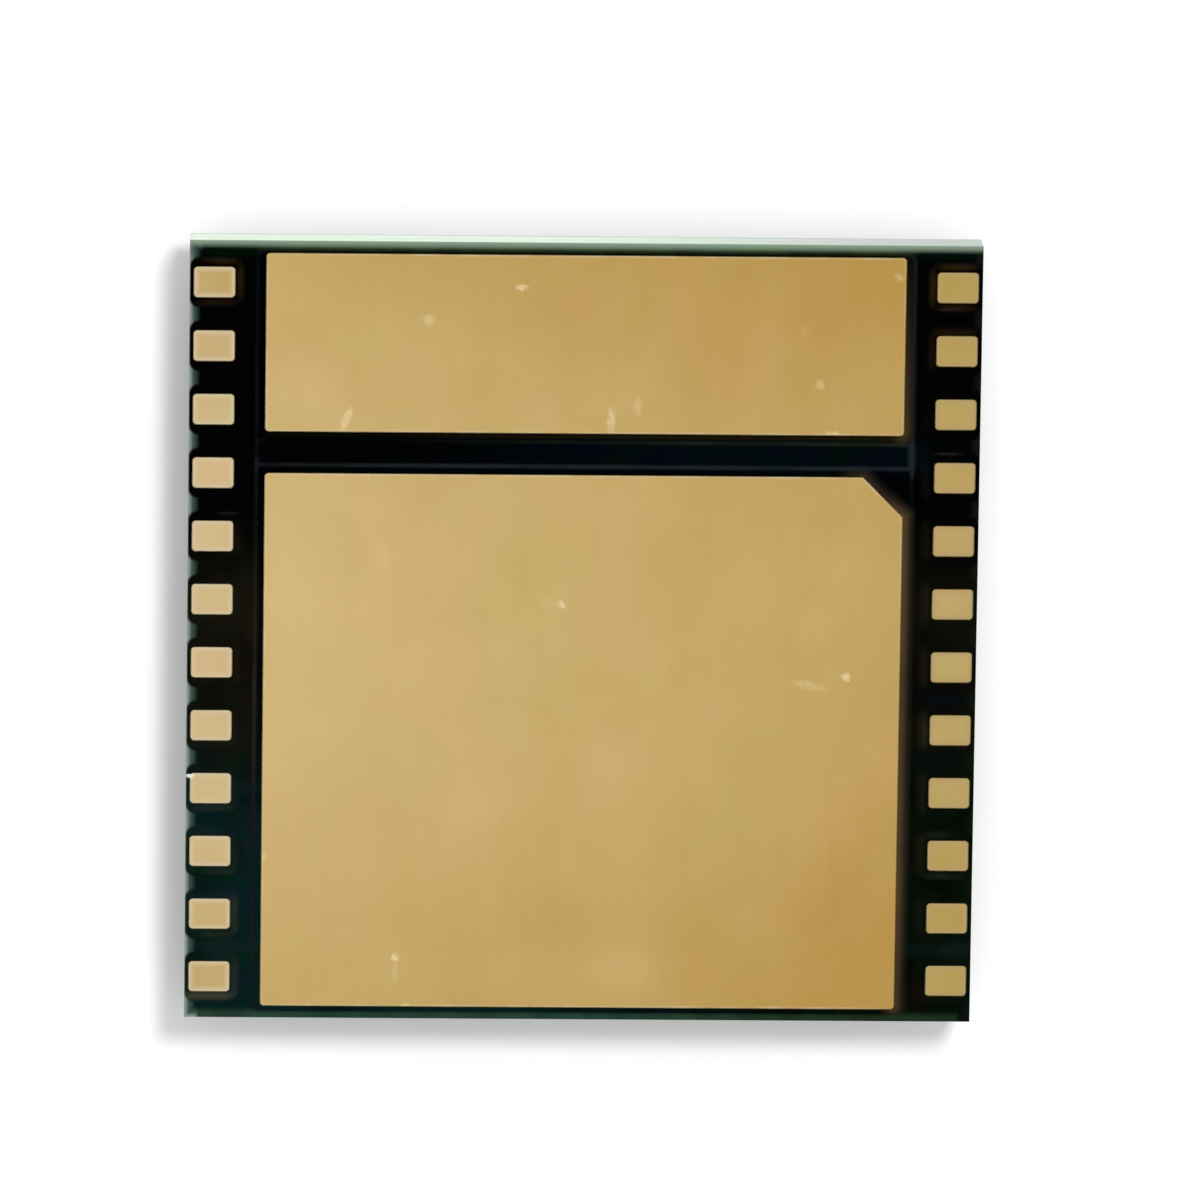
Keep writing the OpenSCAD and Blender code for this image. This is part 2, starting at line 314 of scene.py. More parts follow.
EDGE_DROP = 0.004
EDGE_ROUND = 0.008


def outside(x, y, box, radius, cut=0.0):
    """Distance outside a box with round corners, negative inside."""
    middle_x, middle_y, half_x, half_y = centred(box)
    over_x = abs(x - middle_x) - half_x + radius
    over_y = abs(y - middle_y) - half_y + radius
    off = hypot(max(over_x, 0), max(over_y, 0)) + min(max(over_x, over_y), 0) - radius
    return max(off, (x + y - box[2] - box[3] + cut) / sqrt(2)) if cut else off


def ease(t):
    """Smooth step from 0 to 1."""
    t = min(max(t, 0.0), 1.0)
    return t * t * (3 - 2 * t)


def side_steps(box, spacing):
    """Steps along x and y for a ring round a box."""
    return max(2, round((box[2] - box[0]) / spacing)), max(2, round((box[3] - box[1]) / spacing))


def edge_drop(x, y):
    """How far a film's face falls away at the package's sawn edge."""
    edge_off = min(x - body_box[0], y - body_box[1], body_box[2] - x, body_box[3] - y)
    return EDGE_DROP * max(0.0, 1 - edge_off / EDGE_ROUND) ** 2


def edge_outlines():
    """Outlines along the package's edge, close together."""
    steps = side_steps(body_box, 0.05)
    return [ring(body_box, steps, grow=-inset, arc=1) for inset in (0.0, 0.003, EDGE_ROUND)]


def film_piece(name, outlines, is_open, heights_at):
    """A film as a closed mesh over the plan that outlines bound and divide, left out where is_open says so.

    heights_at gives the heights of its upper and lower face at a place.
    """
    points, edges = [], []
    for outline in outlines:
        first = len(points)
        points += outline
        edges += [(first + k, first + (k + 1) % len(outline)) for k in range(len(outline))]
    flat, _, faces, *_ = delaunay_2d_cdt(points, edges, [], 0, 1e-5)
    kept = []
    for face in faces:
        middle = sum((flat[k] for k in face), Vector((0, 0))) / len(face)
        if not is_open(middle.x, middle.y):
            kept.append(face)
    used = sorted({k for face in kept for k in face})
    number = {k: 2 * n for n, k in enumerate(used)}
    shell_points = [(*flat[k], z) for k in used for z in heights_at(*flat[k])]
    shell_faces, sides = [], set()
    for face in kept:
        upper = [number[k] for k in face]
        shell_faces += [tuple(upper), tuple(k + 1 for k in reversed(upper))]
        sides |= {(upper[k - 1], upper[k]) for k in range(len(upper))}
    for a, b in sides:
        if (b, a) not in sides:
            shell_faces.append((b, a, a + 1, b + 1))
    return make_piece(name, shell_points, shell_faces, SOFT_CREASE)


def disc(middle, radius, count):
    """Outline of a round pad or opening."""
    turns = [2 * pi * k / count for k in range(count)]
    return [middle + radius * Vector((cos(turn), sin(turn))) for turn in turns]


def trace_outline(path, half):
    """Outline of a trace along its path, mitred at its knees."""
    runs = [(b - a).normalized() for a, b in zip(path, path[1:])]
    lefts = [Vector((-run.y, run.x)) for run in runs]
    knees = [(a + b) / (1 + a.dot(b)) for a, b in zip(lefts, lefts[1:])]
    offsets = [half * offset for offset in [lefts[0]] + knees + [lefts[-1]]]
    there = [point + offset for point, offset in zip(path, offsets)]
    back = [point - offset for point, offset in zip(path, offsets)]
    return there + back[::-1]


# A trace leads straight in from its via, slants to its bump row and ends on the bump's pad
trace_paths = []
for side in (1, -1):
    for row in range(LAND_ROWS):
        rows_up = (LAND_ROWS - 1) / 2 - row
        via = Vector((side * VIA_COLUMN, rows_up * LAND_PITCH))
        bump = Vector((side * EDGE_BUMP_COLUMN, rows_up * EDGE_BUMP_PITCH))
        lead = via - Vector((side * TRACE_LEAD, 0))
        tail = bump + Vector((side * TRACE_TAIL, 0))
        trace_paths.append([via, lead, tail, bump])
spreader_boxes = [plan_box("power_spreader"), plan_box("ground_spreader")]
bump_middles = [path[-1] for path in trace_paths]
for row_y in BUMP_ROWS:
    for column in range(BUMP_COLUMNS):
        bump_middles.append(Vector(((column - (BUMP_COLUMNS - 1) / 2) * BUMP_PITCH, row_y)))


def off_trace(point, path):
    """Distance of a point outside a trace and its two pads."""
    off = min((point - path[0]).length - VIA_PAD, (point - path[-1]).length - BUMP_PAD)
    for a, b in zip(path, path[1:]):
        share = min(max((point - a).dot(b - a) / (b - a).length_squared, 0.0), 1.0)
        off = min(off, (point - a.lerp(b, share)).length - TRACE_HALF)
    return off


def die_film_heights(x, y):
    """Heights of the die-side film's face against the laminate and of its free face below."""
    point = Vector((x, y))
    copper_off = min(outside(x, y, box, SPREADER_CORNER) for box in spreader_boxes)
    for path in trace_paths:
        if path[0].x * x > 0:
            copper_off = min(copper_off, off_trace(point, path))
    back = trace_face if copper_off < 0 else die_film_back
    step = ease((copper_off - DIE_STEP_START) / (DIE_STEP_END - DIE_STEP_START))
    return back, die_film_face + DIE_FILM_RISE * step + edge_drop(x, y)


def bump_is_open(x, y):
    """True over a bump's opening."""
    if abs(x) > BUMP_FIELD or abs(y) > BUMP_FIELD:
        return False
    return any(hypot(x - bump.x, y - bump.y) < BUMP_OPENING for bump in bump_middles)


outlines = edge_outlines()
outlines += [disc(bump, BUMP_OPENING, 14) for bump in bump_middles]
for grow in (-0.012, -0.004, 0.004, 0.012, 0.02, 0.03):
    outlines += [ring(box, side_steps(box, 0.3), SPREADER_CORNER, grow) for box in spreader_boxes]
    outlines += [trace_outline(path, TRACE_HALF + grow) for path in trace_paths]
    outlines += [disc(path[0], VIA_PAD + grow, 24) for path in trace_paths]
    outlines += [disc(path[-1], BUMP_PAD + grow, 18) for path in trace_paths]
die_film = film_piece("die_mask_film", outlines, bump_is_open, die_film_heights)

outline_inputs = {"Place": (0, 0, 0), "Middle": (0, 0, 0), "Half": (1, 1, 0), "Corner": 0.0, "Slant": 100.0}
tree, given, result = start_group("outline_distance", outline_inputs, ["Distance"])
local = vectors(tree, "SUBTRACT", given["Place"], given["Middle"])
over = split(tree, vectors(tree, "SUBTRACT", vectors(tree, "ABSOLUTE", local), given["Half"]))
over_x = add(tree, over["X"], given["Corner"])
over_y = add(tree, over["Y"], given["Corner"])
beyond_x = maths(tree, "MAXIMUM", over_x, 0.0)
beyond_y = maths(tree, "MAXIMUM", over_y, 0.0)
beyond = put(tree, "CombineXYZ", {"X": beyond_x, "Y": beyond_y}).outputs[0]
beyond = put(tree, "VectorMath", {0: beyond}, operation="LENGTH").outputs["Value"]
within = maths(tree, "MINIMUM", maths(tree, "MAXIMUM", over_x, over_y), 0.0)
box_off = maths(tree, "SUBTRACT", add(tree, beyond, within), given["Corner"])
x, y, _ = split(tree, given["Place"])
slant_off = maths(tree, "SUBTRACT", add(tree, x, y), given["Slant"])
slant_off = product(tree, slant_off, sqrt(0.5))
tree.links.new(maths(tree, "MAXIMUM", box_off, slant_off), result["Distance"])
outline_group = tree


def off_outline(tree, place, box, corner, cut=0.0):
    """Distance outside a named outline, as a node's output."""
    x, y, half_x, half_y = centred(box)
    inputs = {"Place": place, "Middle": (x, y, 0), "Half": (half_x, half_y, 0), "Corner": corner}
    if cut:
        inputs["Slant"] = box[2] + box[3] - cut
    return put(tree, "Group", inputs, node_tree=outline_group).outputs["Distance"]


# The saw cuts both films square with the laminate, and the cut shows the resin, paler than the film's face
CUT_TONE = (0.3, 0.42, 0.35)
tree, given, result = start_group("sawn_side", {"Edge": 1.0}, ["Cut"])
upright = split(tree, put(tree, "NewGeometry").outputs["True Normal"])["Z"]
level = fade(tree, maths(tree, "ABSOLUTE", upright), 0.3, 0.7)
at_edge = fade(tree, given["Edge"], 0.0005, 0.002)
tree.links.new(product(tree, level, at_edge), result["Cut"])
cut_group = tree


def finish_film(tree, shader, place, tone, edge_off, smoothest, roughest):
    """Gives a film its sawn side, its roughness and the orange peel of its face."""
    cut = put(tree, "Group", {"Edge": edge_off}, node_tree=cut_group).outputs["Cut"]
    peel = cloud(tree, place, 0.16, detail=2.0)
    roughness = ramp(tree, peel, 0.2, 0.8, smoothest, roughest)
    finish_surface(tree, shader, mix(tree, cut, tone, CUT_TONE), roughness, product(tree, peel, 0.003))


die_mask, tree, shader, place = start_material("die_side_green", Specular_IOR_Level=0.12)
ridge = fade(tree, split(tree, place)["Z"], die_film_face + 0.001, die_film_face + DIE_FILM_RISE - 0.001)
lumps = cloud(tree, place, 1.1)
between_tone = mix(tree, lumps, (0.0016, 0.0075, 0.006), (0.0032, 0.0125, 0.0095))
ridge_tone = mix(tree, lumps, (0.0085, 0.021, 0.0115), (0.0125, 0.029, 0.016))
tone = mix(tree, ridge, between_tone, ridge_tone)
edge_off = product(tree, off_outline(tree, place, body_box, 0.0), -1.0)
# Near the sawn edge the film is paler: painted light from the sawn side showing through it
tone = mix(tree, ramp(tree, edge_off, 0.0, 0.11, 0.85, 0.0), tone, (0.03, 0.075, 0.055))
finish_film(tree, shader, place, tone, edge_off, 0.2, 0.32)
die_film.data.materials.append(die_mask)
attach(die_film, "root")
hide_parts("die_side_mask")

# Underfill: black epoxy drawn in between die and laminate by capillary flow, then cured.
# It climbs the die's sides as a hollow fillet, a little uneven where the dispenser passed.
FILLET_FOOT = 0.34
FILLET_HOLLOW = 0.5
FILLET_LIP = 0.02
FILLET_WAVE = 0.022
underfill_high = heights("underfill")[1]
hollow_radius = hypot(FILLET_HOLLOW - FILLET_LIP, FILLET_HOLLOW - FILLET_FOOT)


def fillet_ring(out, height):
    """Outline of the fillet at a distance out from the die, wavy in its reach."""
    points = ring(die_box, die_steps, grow=out, arc=10)
    made = []
    for point in points:
        wave = noise.noise((point.x * 0.9, point.y * 0.9, 11.0)) - 0.25
        made.append(point + point.normalized() * FILLET_WAVE * wave * out / FILLET_FOOT)
    return made, height


hollow_start = asin((FILLET_HOLLOW - FILLET_FOOT) / hollow_radius)
hollow_turns = [hollow_start + (pi / 2 - 2 * hollow_start) * k / 10 for k in range(11)]
fillet_steps = [(FILLET_HOLLOW - hollow_radius * cos(turn), turn) for turn in hollow_turns]
fillet_rings = [
    (ring(die_box, die_steps, grow=-0.3, arc=10), die_face),
    (ring(die_box, die_steps, grow=-0.002, arc=10), die_face - 0.004),
    fillet_ring(0.0, underfill_high - FILLET_FOOT),
]
for out, turn in fillet_steps:
    fillet_rings.append(fillet_ring(out, underfill_high - FILLET_HOLLOW + hollow_radius * sin(turn)))
foot_line = fillet_ring(FILLET_FOOT, 0.0)[0]
fillet_rings.append((foot_line, [die_film_heights(p.x, p.y)[1] + 0.001 for p in foot_line]))
fillet = make_piece("underfill_fillet", *loft(fillet_rings), SOFT_CREASE)

epoxy, tree, shader, place = start_material("underfill_epoxy", Specular_IOR_Level=0.4)
filler = cloud(tree, place, 0.02, detail=2.0)
flow = cloud(tree, place, (0.7, 0.7, 0.25))
tone = mix(tree, flow, (0.009, 0.009, 0.011), (0.02, 0.02, 0.022))
tone = mix(tree, ramp(tree, filler, 0.62, 0.72), tone, (0.05, 0.05, 0.05))
relief = {0: 0.12, 2: product(tree, flow, 0.01), 3: product(tree, filler, 0.004)}
relief = put(tree, "Mix", relief).outputs[0]
finish_surface(tree, shader, tone, ramp(tree, flow, 0.3, 0.7, 0.3, 0.42), relief)
fillet.data.materials.append(epoxy)
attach(fillet, "root")
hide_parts("underfill")

# Copper inside: traces and spreaders of the die side, the inner plane, and the filled vias
# that join the two sides. It is etched and plated copper, sealed in by mask, resin and
# underfill; the bumps are solder on copper pillars.
copper, tree, shader, place = start_material("etched_copper", Metallic=1.0)
etch = cloud(tree, place, 0.03, detail=4.0)
tone = mix(tree, etch, (0.62, 0.3, 0.17), (0.78, 0.42, 0.26))
roughness = ramp(tree, etch, 0.2, 0.8, 0.35, 0.55)
finish_surface(tree, shader, tone, roughness, product(tree, etch, 0.002))

solder, tree, shader, place = start_material("bump_solder", Metallic=1.0)
dendrites = cloud(tree, place, 0.02)
tone = mix(tree, dendrites, (0.55, 0.55, 0.57), (0.72, 0.72, 0.73))
roughness = ramp(tree, dendrites, 0.2, 0.8, 0.28, 0.42)
finish_surface(tree, shader, tone, roughness, product(tree, dendrites, 0.001))

sealed_copper = ["signal_traces", "power_spreader", "ground_spreader", "inner_ground_plane"]
filled_vias = ["signal_vias", "power_vias", "ground_vias"]
for name in sealed_copper + filled_vias:
    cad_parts[name].material_slots[0].material = copper
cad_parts["die_bumps"].material_slots[0].material = solder

# Laminate: woven glass cloth in pale green resin, a core and one ply, pressed together round the inner plane.
# The package was sawn from its panel, so the cut ends of the glass bundles show in its sides.
CLOTH_PITCH = 0.42
BUNDLE_HALF_WIDTH = 0.17
BUNDLE_HALF_HEIGHT = 0.021
core_low, core_high = heights("laminate_core")
ply_low, ply_high = heights("land_side_ply")
cloth_inputs = {"Place": (0, 0, 0), "Height": 0.0, "Shift": 0.0}
tree, given, result = start_group("glass_cloth_section", cloth_inputs, ["Glass"])
x, y, z = split(tree, given["Place"])
wander = product(tree, cloud(tree, given["Place"], 1.3, detail=0.0), 0.3)
along = add(tree, x, y, given["Shift"], wander)
turn = product(tree, along, 2 * pi / CLOTH_PITCH)
above = maths(tree, "SUBTRACT", z, given["Height"])
crossing = product(tree, maths(tree, "COSINE", turn), BUNDLE_HALF_HEIGHT)
crossing_off = maths(tree, "ABSOLUTE", add(tree, above, crossing))
run_bundle = fade(tree, crossing_off, BUNDLE_HALF_HEIGHT * 0.45, BUNDLE_HALF_HEIGHT * 0.7)
half = product(tree, maths(tree, "PINGPONG", along, CLOTH_PITCH / 2), 1 / BUNDLE_HALF_WIDTH)
lens_height = maths(tree, "DIVIDE", above, BUNDLE_HALF_HEIGHT)
squares = [product(tree, half, half), product(tree, lens_height, lens_height)]
end_bundle = ramp(tree, add(tree, *squares), 0.75, 1.05, 0.8, 0.0)
tree.links.new(maths(tree, "MAXIMUM", run_bundle, end_bundle), result["Glass"])
cloth = tree

board, tree, shader, place = start_material("glass_laminate", Specular_IOR_Level=0.35)
core_t = core_high - core_low
cloth_heights = [core_low + core_t * 0.27, core_low + core_t * 0.73, (ply_low + ply_high) / 2 + 0.01]
glass = 0.0
for layer, height in enumerate(cloth_heights):
    section = put(tree, "Group", {"Place": place, "Height": height, "Shift": 0.13 * layer}, node_tree=cloth)
    glass = maths(tree, "MAXIMUM", glass, section.outputs["Glass"])
fibres = cloud(tree, place, 0.012, detail=2.0)
resin_tone = mix(tree, cloud(tree, place, (0.5, 0.5, 0.12)), (0.7, 0.84, 0.68), (0.79, 0.91, 0.76))
x, y, _ = split(tree, place)
# Painted shade: the top side darkens towards its right end
painted_shade_right = product(tree, ramp(tree, x, -1.0, 4.0, 0.0, 0.8), ramp(tree, y, 3.96, 3.99))
glass_tone = mix(tree, fibres, (0.77, 0.88, 0.75), (0.86, 0.94, 0.84))
tone = mix(tree, painted_shade_right, mix(tree, glass, resin_tone, glass_tone), (0.45, 0.49, 0.48))
saw_marks = cloud(tree, place, (0.5, 0.5, 0.006))
relief = add(tree, product(tree, glass, fibres, 0.004), product(tree, saw_marks, 0.003))
finish_surface(tree, shader, tone, ramp(tree, saw_marks, 0.2, 0.8, 0.5, 0.75), relief)
for name in ["laminate_core", "land_side_ply"]:
    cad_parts[name].material_slots[0].material = board

# Solder mask of the land side: one cured film, nearly black green, that steps up over each copper
# shape and is open over each contact. Near the edge, where no copper lies below it, light from
# the sawn side shows through.
film_low, film_high = heights("land_side_mask")
contact_high = heights("power_pad")[1]
FILM_OVER_COPPER = 0.02
FILM_OVER_LAMINATE = 0.035
OVERLAP = 0.08
PAD_END_OVERLAP = 0.03
LAND_END_OVERLAP = 0.025
CONTACT_CORNER = 0.04
COPPER_CORNER = 0.08
CONTACT_CUT = 0.41
COPPER_CUT = CONTACT_CUT + OVERLAP * (2 - sqrt(2))
RING_SPACING = 0.15
STEP_START = -0.004
STEP_END = 0.028
LIP_ROUND = 0.008
LIP_DROP = 0.006
copper_high = film_high - FILM_OVER_COPPER


def contact_in(foot, ends):
    """Outline of a contact from its copper's: ends are the overlaps at low x, low y, high x and high y."""
    return [foot[0] + ends[0], foot[1] + ends[1], foot[2] - ends[2], foot[3] - ends[3]]


power_foot = plan_box("power_pad")
ground_foot = plan_box("ground_pad")
power_contact = contact_in(power_foot, (OVERLAP, OVERLAP, OVERLAP, PAD_END_OVERLAP))
ground_contact = contact_in(ground_foot, (OVERLAP, PAD_END_OVERLAP, OVERLAP, OVERLAP))
# Each shape is (name, copper outline, contact outline, copper cut, contact cut)
shapes = [
    ("power_pad", power_foot, power_contact, 0.0, 0.0),
    ("ground_pad", ground_foot, ground_contact, COPPER_CUT, CONTACT_CUT),
]
for number in range(1, 2 * LAND_ROWS + 1):
    name = f"land_{number:02d}"
    foot = plan_box(name)
    ends = (OVERLAP, LAND_END_OVERLAP) if foot[0] > 0 else (LAND_END_OVERLAP, OVERLAP)
    shapes.append((name, foot, contact_in(foot, (ends[0], OVERLAP, ends[1], OVERLAP)), 0.0, 0.0))


def land_film_heights(x, y):
    """Heights of the land-side film's free face and of its face against copper and laminate."""
    copper_off = min(outside(x, y, foot, COPPER_CORNER, cut) for _, foot, _, cut, _ in shapes)
    contact_off = min(outside(x, y, box, CONTACT_CORNER, cut) for _, _, box, _, cut in shapes)
    step = ease((copper_off - STEP_START) / (STEP_END - STEP_START))
    face = film_high + (film_low + FILM_OVER_LAMINATE - film_high) * step
    face -= edge_drop(x, y) + LIP_DROP * max(0.0, 1 - contact_off / LIP_ROUND) ** 2
    return face, copper_high if copper_off < 0 else film_low


# Chip in the mask at the upper outer corner of the ninth land down the left side
CHIP_LAND = "land_16"
chip_contact = next(box for name, _, box, _, _ in shapes if name == CHIP_LAND)
chip_y = (chip_contact[3] - 0.062, chip_contact[3] - 0.01)
chip_x = (body_box[0], chip_contact[0] + 0.01)
chip_corners = [
    (chip_x[0], chip_y[0] + 0.012), (chip_x[0] + 0.02, chip_y[0]), (chip_x[1], chip_y[0] + 0.016),
    (chip_x[1], chip_y[1] - 0.004), (chip_x[0] + 0.014, chip_y[1]), (chip_x[0], chip_y[1] - 0.008),
]
chip_outline = [Vector(corner) for corner in chip_corners]


def land_film_is_open(x, y):
    """True over a contact or the chip."""
    if x <= chip_x[1] and chip_y[0] < y < chip_y[1]:
        crossings = 0
        for a, b in zip(chip_outline, chip_outline[1:] + chip_outline[:1]):
            if (a.y > y) != (b.y > y) and x < a.x + (b.x - a.x) * (y - a.y) / (b.y - a.y):
                crossings += 1
        if crossings % 2:
            return True
    return any(outside(x, y, box, CONTACT_CORNER, cut) < 0 for _, _, box, _, cut in shapes)


outlines = [chip_outline] + edge_outlines()
for _, foot, contact, foot_cut, contact_cut in shapes:
    for grow in (0.0, 0.0015, 0.004, LIP_ROUND, 0.011):
        outlines.append(ring(contact, side_steps(contact, RING_SPACING), CONTACT_CORNER, grow, contact_cut))
    for grow in (-0.009, STEP_START, 0.002, 0.008, 0.014, 0.02, STEP_END, 0.036):
        outlines.append(ring(foot, side_steps(foot, RING_SPACING), COPPER_CORNER, grow, foot_cut))


def within_body(point):
    """The point, or the nearest on the package's edge."""
    return Vector((min(max(point.x, body_box[0]), body_box[2]), min(max(point.y, body_box[1]), body_box[3])))


outlines = [[within_body(point) for point in outline] for outline in outlines]
land_film = film_piece("land_mask_film", outlines, land_film_is_open, land_film_heights)

# Distances outside the nearest contact, copper shape and edge land's contact, and inside the package's edge
distance_names = ["Contact", "Copper", "Land", "Edge"]
tree, given, result = start_group("land_side_distances", {"Place": (0, 0, 0)}, distance_names)
place = given["Place"]
x, y, _ = split(tree, place)
pitches = maths(tree, "FLOOR", product(tree, y, 1 / LAND_PITCH))
pitches = maths(tree, "MINIMUM", pitches, LAND_ROWS / 2 - 1)
pitches = maths(tree, "MAXIMUM", pitches, -LAND_ROWS / 2)
row_middle = product(tree, add(tree, pitches, 0.5), LAND_PITCH)
row_y = maths(tree, "SUBTRACT", y, row_middle)
folded = put(tree, "CombineXYZ", {"X": maths(tree, "ABSOLUTE", x), "Y": row_y}).outputs[0]
land_foot = plan_box("land_01")
land_y = (land_foot[1] + land_foot[3]) / 2
land_foot = [land_foot[0], land_foot[1] - land_y, land_foot[2], land_foot[3] - land_y]
land_contact = contact_in(land_foot, (OVERLAP, OVERLAP, LAND_END_OVERLAP, OVERLAP))
land_off = off_outline(tree, folded, land_contact, CONTACT_CORNER)
contact_offs = [
    land_off,
    off_outline(tree, place, power_contact, CONTACT_CORNER),
    off_outline(tree, place, ground_contact, CONTACT_CORNER, CONTACT_CUT),
]
copper_offs = [
    off_outline(tree, folded, land_foot, COPPER_CORNER),
    off_outline(tree, place, power_foot, COPPER_CORNER),
    off_outline(tree, place, ground_foot, COPPER_CORNER, COPPER_CUT),
]
contact_off = maths(tree, "MINIMUM", *contact_offs)
copper_off = maths(tree, "MINIMUM", *copper_offs)
edge_off = product(tree, off_outline(tree, place, body_box, 0.0), -1.0)
for name, value in zip(distance_names, [contact_off, copper_off, land_off, edge_off]):
    tree.links.new(value, result[name])
distances = tree

mark_inputs = {"Place": (0, 0, 0), "Middle": (0, 0, 0), "Half": (1, 1, 1), "Angle": 0.0}
tree, given, result = start_group("mark", mark_inputs, ["Mark"])
moved = vectors(tree, "SUBTRACT", given["Place"], given["Middle"])
turning = {"Vector": moved, "Angle": given["Angle"]}
turned = put(tree, "VectorRotate", turning, rotation_type="Z_AXIS").outputs[0]
flattened = vectors(tree, "MULTIPLY", turned, (1, 1, 0))
scaled = vectors(tree, "DIVIDE", flattened, given["Half"])
spread = put(tree, "VectorMath", {0: scaled}, operation="LENGTH").outputs["Value"]
tree.links.new(fade(tree, spread, 0.25, 1.0), result["Mark"])
mark_group = tree


def marked(tree, place, marks):
    """Sum of soft marks, each (x, y, half length, half width, strength, degrees from +X if it is turned)."""
    total = 0.0
    for x, y, length, width, strength, *turned in marks:
        angle = -radians(sum(turned))
        inputs = {"Place": place, "Middle": (x, y, 0), "Half": (length, width, 1), "Angle": angle}
        mark = put(tree, "Group", inputs, node_tree=mark_group).outputs["Mark"]
        total = add(tree, total, product(tree, mark, strength))
    return total


mask_green, tree, shader, place = start_material("solder_mask", Specular_IOR_Level=0.006)
off = put(tree, "Group", {"Place": place}, node_tree=distances).outputs
x, y, _ = split(tree, place)
off_middle = maths(tree, "ABSOLUTE", x)
# Nearly black, with a painted teal sheen towards the lower left that turns green on the right,
# olive halfway down, navy between the pads
uneven = ramp(tree, cloud(tree, place, 0.9), 0.35, 0.65, 0.5, 1.25)
lower = fade(tree, y, -2.2, -0.2)
bluer = ramp(tree, cloud(tree, place, 0.5, detail=4.0), 0.42, 0.58)
painted_sheen_tone = mix(tree, bluer, (0.0014, 0.0118, 0.0078), (0.0021, 0.0108, 0.0136))
painted_sheen_tone = mix(tree, ramp(tree, x, -2.0, 3.0), painted_sheen_tone, (0.0008, 0.0035, 0.0013))
tone = mix(tree, product(tree, lower, uneven), (0.0001, 0.0002, 0.0002), painted_sheen_tone)
# Greyer patches near the lowest lands, brown ones by the lowest on the right, and greener upper corners
PATCHES = [
    ((0.0062, 0.0135, 0.0145), [
        (-3.62, -3.25, 0.42, 0.13, 0.6), (-3.35, -2.1, 0.16, 0.5, 0.4), (-3.5, -1.6, 0.4, 0.14, 0.4),
        (3.85, -3.25, 0.3, 0.13, 0.5), (3.5, -3.25, 0.3, 0.13, 0.2),
    ]),
    ((0.0056, 0.0016, 0.0008), [(3.45, -3.74, 0.35, 0.22, 0.55), (3.4, -2.2, 0.16, 0.5, 0.3)]),
    ((0.0004, 0.0034, 0.0013), [(-3.6, 3.92, 0.6, 0.14, 0.9), (3.65, 3.93, 0.6, 0.13, 0.8)]),
]
for colour, marks in PATCHES:
    tone = mix(tree, marked(tree, place, marks), tone, colour)
in_column = ramp(tree, off_middle, 3.2, 3.36)
halfway = fade(tree, maths(tree, "ABSOLUTE", add(tree, y, 0.3)), 0.3, 1.7)
olive = product(tree, halfway, in_column, ramp(tree, x, -3.3, 3.3, 1.0, 0.5), uneven)
tone = mix(tree, olive, tone, (0.0064, 0.0058, 0.003))
GAP_Y = 1.84
between_pads = fade(tree, maths(tree, "ABSOLUTE", maths(tree, "SUBTRACT", y, GAP_Y)), 0.1, 0.24)
to_right = ramp(tree, x, -2.5, 1.5, 0.05, 1.0)
navy = product(tree, between_pads, to_right, ramp(tree, x, 3.35, 3.6, 1.0, 0.15))
greener = ramp(tree, cloud(tree, place, (0.55, 0.3, 0.5)), 0.4, 0.6)
navy_tone = mix(tree, greener, (0.0004, 0.0016, 0.0046), (0.0003, 0.0029, 0.0026))
tone = mix(tree, navy, tone, navy_tone)
navy_patches = marked(tree, place, [(3.66, -0.65, 0.4, 0.15, 0.6), (3.6, -1.3, 0.42, 0.15, 0.6)])
tone = mix(tree, navy_patches, tone, (0.0012, 0.0031, 0.0045))
# Along the film's step over the copper's shoulder, a painted highlight shows as a line: along the pads'
# sides, and all round the gap between them, greenish along its upper side and blue-grey elsewhere
PAD_HIGHLIGHTS = [
    (0.4, 1.71, 8.0, 0.13, 1.1), (-3.31, -1.9, 4.4, 0.16, 0.9, 90), (-3.31, 2.6, 2.4, 0.16, 0.5, 90),
    (3.31, 3.0, 2.3, 0.16, 0.75, 90), (3.29, GAP_Y, 0.45, 0.26, 0.8), (2.3, 1.975, 5.0, 0.09, 0.75),
]
both_pads = [power_foot[0], ground_foot[1], power_foot[2], power_foot[3]]
pad_gap = [power_foot[0], ground_foot[3], power_foot[2], power_foot[1]]
outer_off = maths(tree, "SUBTRACT", off_outline(tree, place, both_pads, COPPER_CORNER), 0.005)
gap_off = add(tree, off_outline(tree, place, pad_gap, 0.03), 0.005)
shoulder = maths(tree, "MINIMUM", maths(tree, "ABSOLUTE", outer_off), maths(tree, "ABSOLUTE", gap_off))
shoulder = fade(tree, shoulder, 0.002, 0.034)
off_lands = ramp(tree, off["Land"], 0.1, 0.2)
pad_highlight = product(tree, shoulder, marked(tree, place, PAD_HIGHLIGHTS), off_lands)
pad_highlight = product(tree, pad_highlight, ramp(tree, cloud(tree, place, (0.7, 0.7, 0.5)), 0.35, 0.65, 0.6, 1.15))
highlight_tone = mix(tree, between_pads, (0.0085, 0.0104, 0.0106), (0.0095, 0.014, 0.0178))
bluer_side = product(tree, fade(tree, x, -3.2, -3.0), ramp(tree, y, 1.4, 1.8))
highlight_tone = mix(tree, bluer_side, highlight_tone, (0.007, 0.0072, 0.0125))
greener_side = product(tree, fade(tree, x, 3.1, 3.25), ramp(tree, y, 1.86, 1.92))
greener_side = product(tree, greener_side, between_pads, ramp(tree, x, -2.6, -1.6))
highlight_tone = mix(tree, greener_side, highlight_tone, (0.0135, 0.0185, 0.0095))
highlight_tone = mix(tree, halfway, highlight_tone, (0.022, 0.0155, 0.0105))
tone = mix(tree, pad_highlight, tone, highlight_tone)
